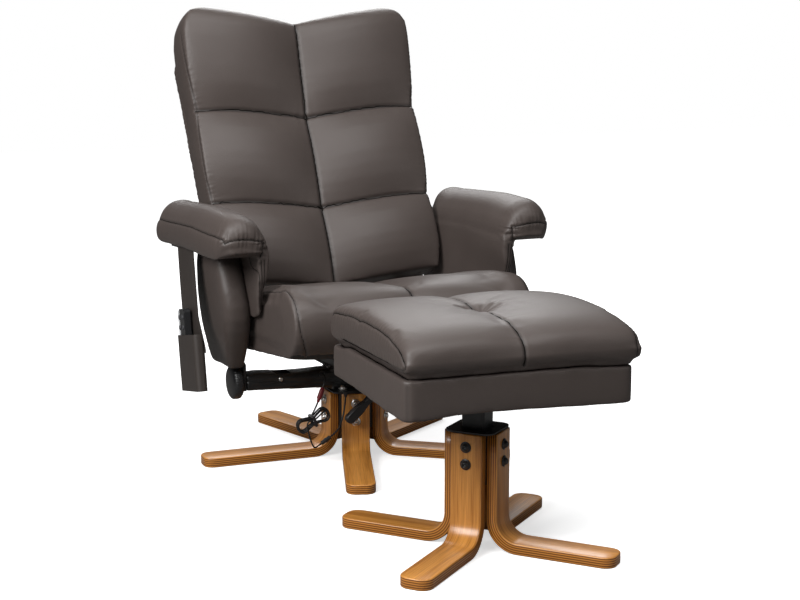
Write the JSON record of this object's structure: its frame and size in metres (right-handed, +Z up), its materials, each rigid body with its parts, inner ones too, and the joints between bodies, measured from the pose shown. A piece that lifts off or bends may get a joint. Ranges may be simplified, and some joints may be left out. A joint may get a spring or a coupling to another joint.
{
  "type": "massage recliner with footstool",
  "caption": "Swivel reclining lounge chair with quilted padded back, wide arms, bentwood star base, vibration remote in a side pocket and a matching bentwood footstool with a lift-up lid.",
  "frame": {"origin": "on the floor under the middle of the bounding box of chair and footstool", "axes": "+Z up; the sitter faces -Y, so the footstool lies towards -Y and +X is the sitter's left"},
  "size_m": [0.787, 1.3851, 0.9901],
  "materials": {
    "bentwood": "clear satin lacquer",
    "black_steel": "black powder coat",
    "zinc_screws": "bright zinc",
    "black_screws": "black oxide",
    "steel_hinge": "plain",
    "plywood": "raw",
    "upholstery": "soft sheen, fine grain",
    "black_plastic": "satin",
    "silver_plastic": "metallic",
    "key_rubber": "matte",
    "red_plastic": "satin",
    "cord_jacket": "satin"
  },
  "bodies": {
    "chair_base": {"chair_leg_1": "bentwood", "chair_leg_2": "bentwood", "chair_leg_3": "bentwood", "chair_leg_4": "bentwood", "chair_leg_5": "bentwood", "chair_hub_core": "black_steel", "chair_hub_plate": "black_steel", "chair_leg_bolts": "zinc_screws", "swivel_bush": "black_plastic"},
    "swivel_frame": {"swivel_plate": "black_steel", "frame_bolts": "zinc_screws", "cross_beam": "black_steel", "arm_upright_left": "black_steel", "arm_upright_right": "black_steel", "side_panel_left": "upholstery", "side_panel_right": "upholstery", "arm_pad_left": "upholstery", "arm_pad_right": "upholstery", "arm_lining_left": "upholstery", "arm_lining_right": "upholstery", "remote_pocket": "upholstery", "cable_grommet": "black_plastic", "cord_lead": "cord_jacket", "red_connector": "red_plastic", "cord_hank": "cord_jacket", "hank_tie": "black_plastic", "inline_coupler": "black_plastic", "cord_tail": "cord_jacket", "cable_gland": "black_plastic"},
    "seat": {"seat_frame": "black_steel", "seat_pan": "plywood", "seat_motors": "black_plastic", "seat_cushion": "upholstery"},
    "backrest": {"back_frame": "black_steel", "back_board": "plywood", "back_motors": "black_plastic", "back_cushion": "upholstery", "back_cover": "upholstery"},
    "knob_left": {"clamp_knob_left": "black_plastic"},
    "knob_right": {"clamp_knob_right": "black_plastic"},
    "lever": {"release_lever": "black_plastic"},
    "remote": {"remote_shell": "silver_plastic", "remote_face": "black_plastic"},
    "key_1": {"remote_key_1": "key_rubber"},
    "key_2": {"remote_key_2": "key_rubber"},
    "key_3": {"remote_key_3": "key_rubber"},
    "key_4": {"remote_key_4": "key_rubber"},
    "footstool": {"stool_leg_1": "bentwood", "stool_leg_2": "bentwood", "stool_leg_3": "bentwood", "stool_leg_4": "bentwood", "stool_core": "black_steel", "stool_hub_plate": "black_steel", "stool_leg_bolts": "black_screws", "stool_post": "black_steel", "stool_box": "upholstery", "stool_hinge_lower": "steel_hinge"},
    "lid": {"stool_hinge_upper": "steel_hinge", "lid_board": "plywood", "lid_cushion": "upholstery"}
  },
  "joints": [
    {"name": "seat_swivel", "type": "hinge", "parent": "chair_base", "child": "swivel_frame", "pos_m": [0.0045, 0.2356, 0.15005], "axis": [0, 0, 1], "continuous": true},
    {"name": "seat_glide", "type": "slide", "parent": "swivel_frame", "child": "seat", "axis": [0, -1, 0], "range_m": [0, 0.05]},
    {"name": "backrest_recline", "type": "hinge", "parent": "seat", "child": "backrest", "pos_m": [0.0045, 0.40285, 0.30279], "axis": [-1, 0, 0], "range_deg": [0, 30]},
    {"name": "knob_left_turn", "type": "hinge", "parent": "swivel_frame", "child": "knob_left", "pos_m": [0.2805, 0.2156, 0.18805], "axis": [1, 0, 0], "continuous": true},
    {"name": "knob_right_turn", "type": "hinge", "parent": "swivel_frame", "child": "knob_right", "pos_m": [-0.2715, 0.2156, 0.18805], "axis": [-1, 0, 0], "continuous": true},
    {"name": "lever_swing", "type": "hinge", "parent": "swivel_frame", "child": "lever", "pos_m": [0.0145, 0.1336, 0.15], "axis": [0, 1, 0], "range_deg": [-10, 20]},
    {"name": "remote_lift", "type": "slide", "parent": "swivel_frame", "child": "remote", "axis": [0, 0.1822, 0.9833], "range_m": [0, 0.115]},
    {"name": "footstool_slide", "type": "slide", "parent": "chair_base", "child": "footstool", "axis": [0, -1, 0], "range_m": [0, 0.4]},
    {"name": "lid_lift", "type": "hinge", "parent": "footstool", "child": "lid", "pos_m": [-0.03544, -0.26783, 0.35825], "axis": [-0.9978, 0.0663, 0], "range_deg": [0, 80]},
    {"name": "key_1_press", "type": "slide", "parent": "remote", "child": "key_1", "axis": [1, 0, 0], "range_m": [0, 0.0012], "stiffness_N_per_m": 800},
    {"name": "key_2_press", "type": "slide", "parent": "remote", "child": "key_2", "axis": [1, 0, 0], "range_m": [0, 0.0012], "stiffness_N_per_m": 800},
    {"name": "key_3_press", "type": "slide", "parent": "remote", "child": "key_3", "axis": [1, 0, 0], "range_m": [0, 0.0012], "stiffness_N_per_m": 800},
    {"name": "key_4_press", "type": "slide", "parent": "remote", "child": "key_4", "axis": [1, 0, 0], "range_m": [0, 0.0012], "stiffness_N_per_m": 800}
  ],
  "couplings": [
    {"joint": "seat_glide", "follows": "backrest_recline", "m_per_rad": 0.095492}
  ]
}
